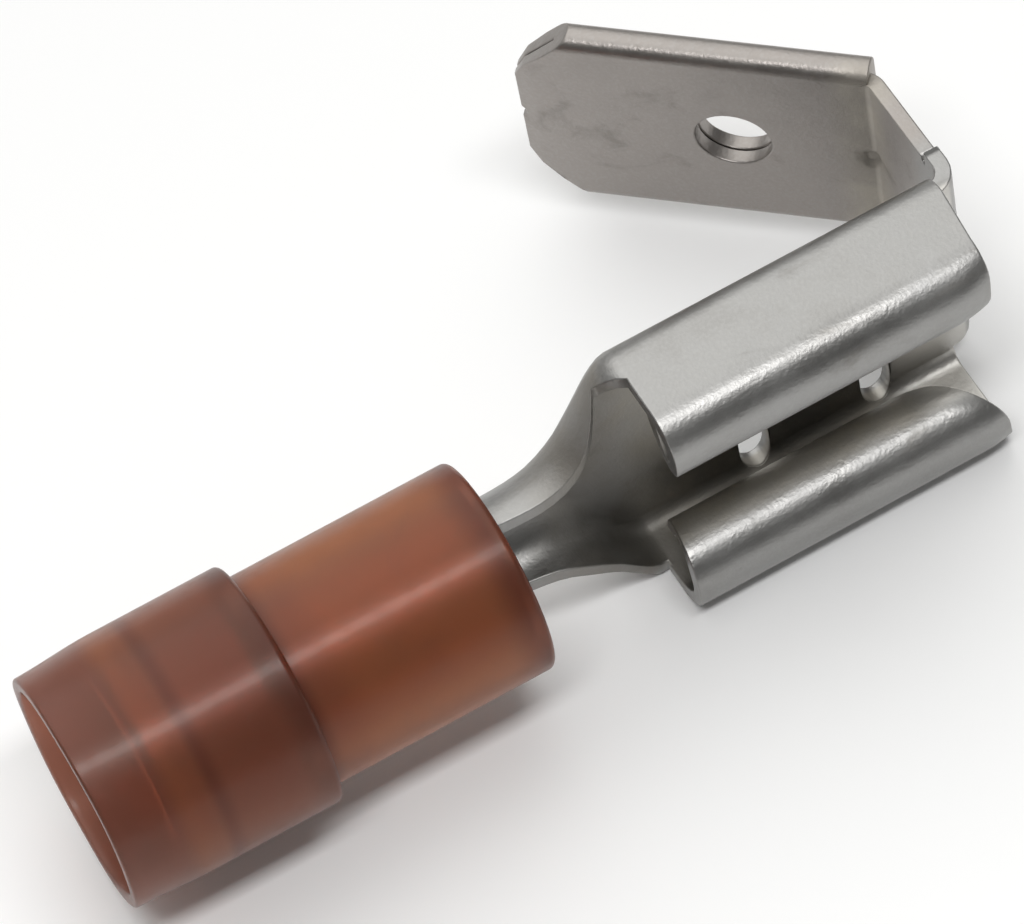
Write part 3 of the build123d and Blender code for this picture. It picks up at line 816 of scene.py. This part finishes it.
def fill_ramp(ramp, stops):
    """Sets the colours of a ramp at their places, eased from one to the next."""
    ramp.interpolation = "EASE"
    while len(ramp.elements) < len(stops):
        ramp.elements.new(0.5)
    for element, (place, colour) in zip(ramp.elements, stops):
        element.position = place
        element.color = (*colour, 1.0)


class Finish:
    """A material that is being built: its node tree, its Principled shader and short ways to add nodes."""

    def __init__(self, name):
        self.material = bpy.data.materials.new(name)
        self.material.use_nodes = True
        self.tree = self.material.node_tree
        self.shader = self.tree.nodes["Principled BSDF"]

    def add(self, kind, **settings):
        """A new node with its settings."""
        node = self.tree.nodes.new(kind)
        for key, value in settings.items():
            setattr(node, key, value)
        return node

    def put(self, socket, value):
        """Links another node's output to a socket, or sets the socket to a number, a vector or a colour."""
        if isinstance(value, bpy.types.NodeSocket):
            self.tree.links.new(value, socket)
        elif socket.type == "RGBA":
            socket.default_value = (*value, 1.0)
        else:
            socket.default_value = value

    def set(self, **values):
        """Puts values into sockets of the shader; a name's underscores stand for spaces."""
        for key, value in values.items():
            self.put(self.shader.inputs[key.replace("_", " ")], value)

    def position(self, stretch=(1.0, 1.0, 1.0), shift=(0.0, 0.0, 0.0)):
        """Object coordinates in millimetres, stretched along each axis and shifted."""
        place = self.add("ShaderNodeTexCoord")
        mapping = self.add("ShaderNodeMapping")
        self.put(mapping.inputs["Scale"], [s / MM for s in stretch])
        self.put(mapping.inputs["Location"], shift)
        self.put(mapping.inputs["Vector"], place.outputs["Object"])
        return mapping.outputs["Vector"]

    def axes(self, vector):
        """The three parts of a vector."""
        split = self.add("ShaderNodeSeparateXYZ")
        self.put(split.inputs["Vector"], vector)
        return [split.outputs[axis] for axis in "XYZ"]

    def noise(self, vector, scale, detail, rough, bend=0.0):
        """Cloudy noise between 0 and 1, with about that many lumps to the millimetre."""
        node = self.add("ShaderNodeTexNoise")
        inputs = {"Scale": scale, "Detail": detail, "Roughness": rough, "Distortion": bend, "Vector": vector}
        for key, value in inputs.items():
            self.put(node.inputs[key], value)
        return node.outputs["Fac"]

    def ramp(self, value, stops):
        """Colours at places along a value, eased from one to the next."""
        node = self.add("ShaderNodeValToRGB")
        fill_ramp(node.color_ramp, stops)
        self.put(node.inputs["Fac"], value)
        return node.outputs["Color"]

    def between(self, value, limits, levels=(0.0, 1.0)):
        """A smooth rise from the first level to the second while the value goes from one limit to the other."""
        node = self.add("ShaderNodeMapRange", interpolation_type="SMOOTHSTEP")
        for key, number in zip(("From Min", "From Max", "To Min", "To Max"), (*limits, *levels)):
            self.put(node.inputs[key], number)
        self.put(node.inputs["Value"], value)
        return node.outputs["Result"]

    def math(self, operation, *values):
        """A sum, product or other operation on one or two values."""
        node = self.add("ShaderNodeMath", operation=operation)
        for socket, value in zip(node.inputs, values):
            self.put(socket, value)
        return node.outputs["Value"]

    def mix(self, share, first, second):
        """The first colour at share 0 and the second at share 1."""
        node = self.add("ShaderNodeMix", data_type="RGBA")
        for socket, value in zip((node.inputs[0], node.inputs[6], node.inputs[7]), (share, first, second)):
            self.put(socket, value)
        return node.outputs[2]

    def bump(self, height, strength, depth, under=None):
        """A normal that leans as if the height stood out by the depth in millimetres, over another normal."""
        node = self.add("ShaderNodeBump")
        self.put(node.inputs["Strength"], strength)
        self.put(node.inputs["Distance"], depth * MM)
        self.put(node.inputs["Height"], height)
        if under is not None:
            self.put(node.inputs["Normal"], under)
        return node.outputs["Normal"]


# Tones of the tin plating, painted shade and painted light among them, the limits in millimetres between which its
# looks change, and how far they do

TIN_CLOUDS = (
    (0.30, (0.285, 0.280, 0.271)),
    (0.55, (0.325, 0.321, 0.313)),
    (0.75, (0.360, 0.356, 0.350)),
)
TIN_WARM = (0.308, 0.274, 0.252)
TIN_SMUDGE = (0.205, 0.192, 0.172)
TIN_GRAIN = (0.44, 0.436, 0.43)
# Painted shade in the neck, laid on with the rougher film
TIN_NECK_PAINTED_SHADE = (0.235, 0.218, 0.192)
# Painted light over the floor and the lips' inward sides, laid on with the rougher film; the same tone lies along the
# inside of the tab's bend
TIN_PAINTED_LIGHT = (0.52, 0.485, 0.42)
# Painted light at the front of the trough, for light that comes in at its open end
TIN_PAINTED_FRONT_LIGHT = (0.68, 0.66, 0.62)
INSIDE_WALLS_Z = (3.78, 3.45)
OVER_LIPS_Y = (-1.05, -0.65)
UNDER_FLOOR_Y = (1.5, 1.35)
# Along X: where the rougher film with its painted shade and painted light starts and ends, and where its painted
# shade turns to painted light
DULL_AND_PAINTED_START_X = (11.5, 13.5)
DULL_AND_PAINTED_END_X = (22.9, 21.2)
SHADE_TO_LIGHT_X = (14.4, 16.4)
# Where the painted front light rises along X
FRONT_LIGHT_X = (21.7, 22.7)
WARM_Y = (2.4, 3.4)
TAB_BEND_LINE = (24.15, 5.05, 0.0)
TAB_BEND_REACH = (1.1, 0.15)
WARM_SHARE = 0.65
BEND_SHARE = 0.9
FRONT_LIGHT_SHARE = 0.68


def tin_zones(f, x, y, z):
    """Shares from 0 to 1 by place. The rougher film, which carries painted shade and painted light, lies in the
    trough, between the walls and over the floor, and near the line inside the tab's bend; the painted front light
    lies over the front of the trough."""
    between_walls = f.between(f.math("ABSOLUTE", z), INSIDE_WALLS_Z)
    over_floor = f.math("MULTIPLY", f.between(y, OVER_LIPS_Y), f.between(y, UNDER_FLOOR_Y))
    in_trough = f.math("MULTIPLY", between_walls, over_floor)
    along = f.math("MULTIPLY", f.between(x, DULL_AND_PAINTED_START_X), f.between(x, DULL_AND_PAINTED_END_X))
    from_bend = f.add("ShaderNodeVectorMath", operation="DISTANCE")
    f.put(from_bend.inputs[0], f.position(stretch=(1.0, 1.0, 0.0)))
    f.put(from_bend.inputs[1], TAB_BEND_LINE)
    at_bend = f.between(from_bend.outputs["Value"], TAB_BEND_REACH, (0.0, BEND_SHARE))
    dull_and_painted = f.math("MAXIMUM", f.math("MULTIPLY", in_trough, along), at_bend)
    # Painted light over the front of the trough
    front_light = f.math("MULTIPLY", in_trough, f.between(x, FRONT_LIGHT_X, (0.0, FRONT_LIGHT_SHARE)))
    return dull_and_painted, front_light


def satin_tin():
    """Tin plating: cloudy grey, a little warmer on riser and tab, grain that breaks the highlights up, brownish
    smudges, and a rougher film in the trough that carries painted shade in the neck and painted light over the floor
    and the lips' inward sides, with the same lighter tone along the inside of the tab's bend; painted light makes the
    front of the trough bright, at the end where the blade goes in."""
    f = Finish("satin_tin")
    place = f.position()
    x, y, z = f.axes(place)
    dull_and_painted, front_light = tin_zones(f, x, y, z)
    clouds = f.noise(place, scale=0.55, detail=4.0, rough=0.6, bend=0.4)
    smudge_place = f.position(stretch=(0.5, 1.0, 1.0), shift=(3.1, 1.7, 0.4))
    smudges = f.noise(smudge_place, scale=0.9, detail=5.0, rough=0.62, bend=0.8)
    grain = f.noise(place, scale=10.5, detail=2.0, rough=0.5)
    pores = f.noise(place, scale=24.0, detail=3.0, rough=0.6)
    waves = f.noise(f.position(stretch=(0.6, 1.0, 1.0)), scale=1.6, detail=2.0, rough=0.5)
    tone = f.ramp(clouds, TIN_CLOUDS)
    tone = f.mix(f.between(y, WARM_Y, (0.0, WARM_SHARE)), tone, TIN_WARM)
    tone = f.mix(f.between(smudges, (0.55, 0.74), (0.0, 0.40)), tone, TIN_SMUDGE)
    tone = f.mix(f.between(grain, (0.40, 0.75), (0.0, 0.14)), tone, TIN_GRAIN)
    # Painted shade in the neck turning to painted light over the floor, laid on where the film lies and broken up by
    # the clouds
    painted_shade_then_light = f.mix(f.between(x, SHADE_TO_LIGHT_X), TIN_NECK_PAINTED_SHADE, TIN_PAINTED_LIGHT)
    painted_share = f.math("MULTIPLY", dull_and_painted, f.between(clouds, (0.35, 0.62), (0.75, 0.45)))
    tone = f.mix(painted_share, tone, painted_shade_then_light)
    # Painted light at the front of the trough
    tone = f.mix(front_light, tone, TIN_PAINTED_FRONT_LIGHT)
    cloudy = f.between(clouds, (0.3, 0.7), (0.34, 0.42))
    smudged = f.between(smudges, (0.5, 0.75), (0.0, 0.10))
    rough = f.math("ADD", f.math("ADD", cloudy, smudged), f.math("MULTIPLY", dull_and_painted, 0.16))
    normal = f.bump(waves, strength=0.4, depth=0.03)
    normal = f.bump(grain, strength=0.85, depth=0.0086, under=normal)
    normal = f.bump(pores, strength=0.6, depth=0.0025, under=normal)
    f.set(Metallic=1.0, Base_Color=tone, Roughness=rough, Normal=normal)
    return f.material


# Tones of the copper

COPPER_CLOUDS = ((0.3, (0.60, 0.31, 0.18)), (0.7, (0.70, 0.39, 0.24)))
COPPER_PATINA = (0.42, 0.20, 0.12)


def drawn_copper():
    """Copper tube, satin, drawn along its length, with a darker dulled patina in streaks."""
    f = Finish("drawn_copper")
    streaks = f.noise(f.position(stretch=(0.25, 1.0, 1.0)), scale=3.0, detail=4.0, rough=0.6)
    clouds = f.noise(f.position(), scale=0.7, detail=3.0, rough=0.55, bend=0.5)
    tone = f.mix(f.between(streaks, (0.4, 0.75), (0.0, 0.3)), f.ramp(clouds, COPPER_CLOUDS), COPPER_PATINA)
    rough = f.between(clouds, (0.3, 0.7), (0.42, 0.50))
    f.set(Metallic=1.0, Base_Color=tone, Roughness=rough, Normal=f.bump(streaks, strength=0.2, depth=0.006))
    return f.material


# Tones of the nylon along the sleeve, as shares of its length from the mouth: painted glow over the ferrule,
# brightest in a band near the mouth, and painted shade in a dark line where the ferrule's bell meets it, in a band
# behind the step and at the front end

NYLON_PAINTED_GLOW_AND_SHADE = (
    (0.00, (0.385, 0.160, 0.112)),
    (0.12, (0.362, 0.136, 0.086)),
    (0.17, (0.470, 0.175, 0.085)),
    (0.21, (0.435, 0.160, 0.082)),
    (0.238, (0.300, 0.104, 0.062)),
    (0.27, (0.400, 0.144, 0.080)),
    (0.40, (0.375, 0.131, 0.074)),
    (0.47, (0.250, 0.084, 0.052)),
    (0.52, (0.460, 0.167, 0.082)),
    (0.62, (0.522, 0.203, 0.092)),
    (0.90, (0.522, 0.203, 0.092)),
    (0.985, (0.290, 0.092, 0.052)),
)
NYLON_CLOUD = (0.340, 0.150, 0.095)


def red_brown_nylon():
    """Moulded nylon, translucent, with painted glow that makes it lighter over the ferrule and painted shade that
    makes it darker behind the step, at the ends and in a line where the ferrule's bell meets it; faint clouds,
    shallow ripples and small scuffs."""
    f = Finish("red_brown_nylon")
    f.set(IOR=1.38, Transmission_Weight=0.80, Specular_IOR_Level=0.12, Specular_Tint=(1.0, 0.90, 0.84),
          Coat_Weight=0.10, Coat_Roughness=0.14)
    place = f.position()
    along = f.math("DIVIDE", f.axes(place)[0], SLEEVE_END)
    clouds = f.noise(place, scale=0.8, detail=4.0, rough=0.6, bend=0.5)
    scuffs = f.noise(f.position(shift=(5.0, 2.0, 1.0)), scale=2.6, detail=5.0, rough=0.65)
    ripples = f.noise(f.position(stretch=(0.5, 1.0, 1.0)), scale=1.1, detail=2.0, rough=0.5)
    skin = f.noise(place, scale=5.0, detail=3.0, rough=0.6)
    # The ramp paints glow and shade along the sleeve; the clouds are the nylon's own
    tone = f.mix(f.between(clouds, (0.35, 0.75), (0.0, 0.22)), f.ramp(along, NYLON_PAINTED_GLOW_AND_SHADE), NYLON_CLOUD)
    rippled = f.bump(ripples, strength=0.15, depth=0.02)
    f.set(Base_Color=tone, Roughness=f.between(scuffs, (0.45, 0.75), (0.34, 0.44)),
          Normal=f.bump(scuffs, strength=0.2, depth=0.006, under=rippled),
          Coat_Normal=f.bump(skin, strength=0.5, depth=0.003, under=rippled))
    return f.material


make_stamping(satin_tin())
turn_tube("copper_ferrule", ferrule_profile(), ferrule_sway, drawn_copper(), "support_ferrule")
turn_tube("nylon_sleeve", sleeve_profile(), sleeve_sway, red_brown_nylon(), "insulation_sleeve")


# Camera at the photograph's viewing angle

CAMERA_PLACE = (-12.98832, -77.25876, 126.43860)
CAMERA_RIGHT = (0.8686, -0.4796, -0.1245)
CAMERA_FORWARD = (0.1702, 0.5248, -0.8340)
CAMERA_LENS = 228.24
CAMERA_SENSOR = 36.0
CAMERA_NEAR = 5.0
CAMERA_FAR = 10000.0

# Floor, just under the part's lowest side

FLOOR_HEIGHT = -3.91
FLOOR_SIDE = 1200.0
FLOOR_WHITE = (0.93, 0.93, 0.93)

# Light: grey levels of the world at places along its lean, and one soft lamp overhead

WORLD_LEAN = (0.0, 0.56, 0.83)
WORLD_LEVELS = ((0.0, 0.09), (0.55, 0.13), (0.80, 0.42), (0.94, 1.0))
WORLD_BLUE = 0.985
WORLD_STRENGTH = 1.85
LAMP_PLACE = (4.0, -55.0, 175.0)
LAMP_TARGET = (12.0, 0.0, 0.0)
LAMP_SIZE = (140.0, 28.0)
LAMP_POWER = 0.17


def turned(columns, place):
    """A matrix from three axes and a place in millimetres."""
    matrix = np.eye(4)
    matrix[:3, :3] = np.array(columns).T
    matrix[:3, 3] = np.array(place) * MM
    return Matrix(matrix.tolist())


def make_camera():
    """A long lens looking down on the connector from the side of the wire entry and the lips."""
    data = bpy.data.cameras.new("studio_camera")
    data.lens = CAMERA_LENS
    data.sensor_width = CAMERA_SENSOR
    data.clip_start = CAMERA_NEAR * MM
    data.clip_end = CAMERA_FAR * MM
    camera = bpy.data.objects.new("studio_camera", data)
    right = unit(np.array(CAMERA_RIGHT))
    forward = np.array(CAMERA_FORWARD)
    forward = unit(forward - right * (forward @ right))
    camera.matrix_world = turned((right, np.cross(right, forward), -forward), CAMERA_PLACE)
    bpy.context.scene.collection.objects.link(camera)
    bpy.context.scene.camera = camera


def make_floor():
    """A plain white floor that takes the part's shadow."""
    mesh = bpy.data.meshes.new("floor")
    side = FLOOR_SIDE * MM / 2
    z = FLOOR_HEIGHT * MM
    mesh.from_pydata([(-side, -side, z), (side, -side, z), (side, side, z), (-side, side, z)], [], [(0, 1, 2, 3)])
    floor = bpy.data.objects.new("floor", mesh)
    bpy.context.scene.collection.objects.link(floor)
    f = Finish("floor_white")
    f.set(Base_Color=FLOOR_WHITE, Roughness=0.95, Specular_IOR_Level=0.1)
    mesh.materials.append(f.material)


def make_lamp():
    """A rectangular soft light at its place, facing its target."""
    data = bpy.data.lights.new("overhead_soft", "AREA")
    data.shape = "RECTANGLE"
    data.size = LAMP_SIZE[0] * MM
    data.size_y = LAMP_SIZE[1] * MM
    data.energy = LAMP_POWER
    lamp = bpy.data.objects.new("overhead_soft", data)
    away = unit(np.array(LAMP_PLACE) - np.array(LAMP_TARGET))
    side = unit(np.cross((0.0, 1.0, 0.0), away))
    lamp.matrix_world = turned((side, np.cross(away, side), away), LAMP_PLACE)
    bpy.context.scene.collection.objects.link(lamp)


def make_world():
    """Soft light from all round: dim near the ground towards the lips, bright above and behind the tab."""
    world = bpy.data.worlds.new("studio")
    world.use_nodes = True
    tree = world.node_tree
    place = tree.nodes.new("ShaderNodeTexCoord")
    lean = tree.nodes.new("ShaderNodeVectorMath")
    lean.operation = "DOT_PRODUCT"
    lean.inputs[1].default_value = WORLD_LEAN
    ramp = tree.nodes.new("ShaderNodeValToRGB")
    fill_ramp(ramp.color_ramp, [(at, (level, level, level * WORLD_BLUE)) for at, level in WORLD_LEVELS])
    tree.links.new(place.outputs["Generated"], lean.inputs[0])
    tree.links.new(lean.outputs["Value"], ramp.inputs["Fac"])
    tree.links.new(ramp.outputs["Color"], tree.nodes["Background"].inputs["Color"])
    tree.nodes["Background"].inputs["Strength"].default_value = WORLD_STRENGTH
    bpy.context.scene.world = world


make_camera()
make_floor()
make_world()
make_lamp()
bpy.context.scene.view_settings.view_transform = "Standard"
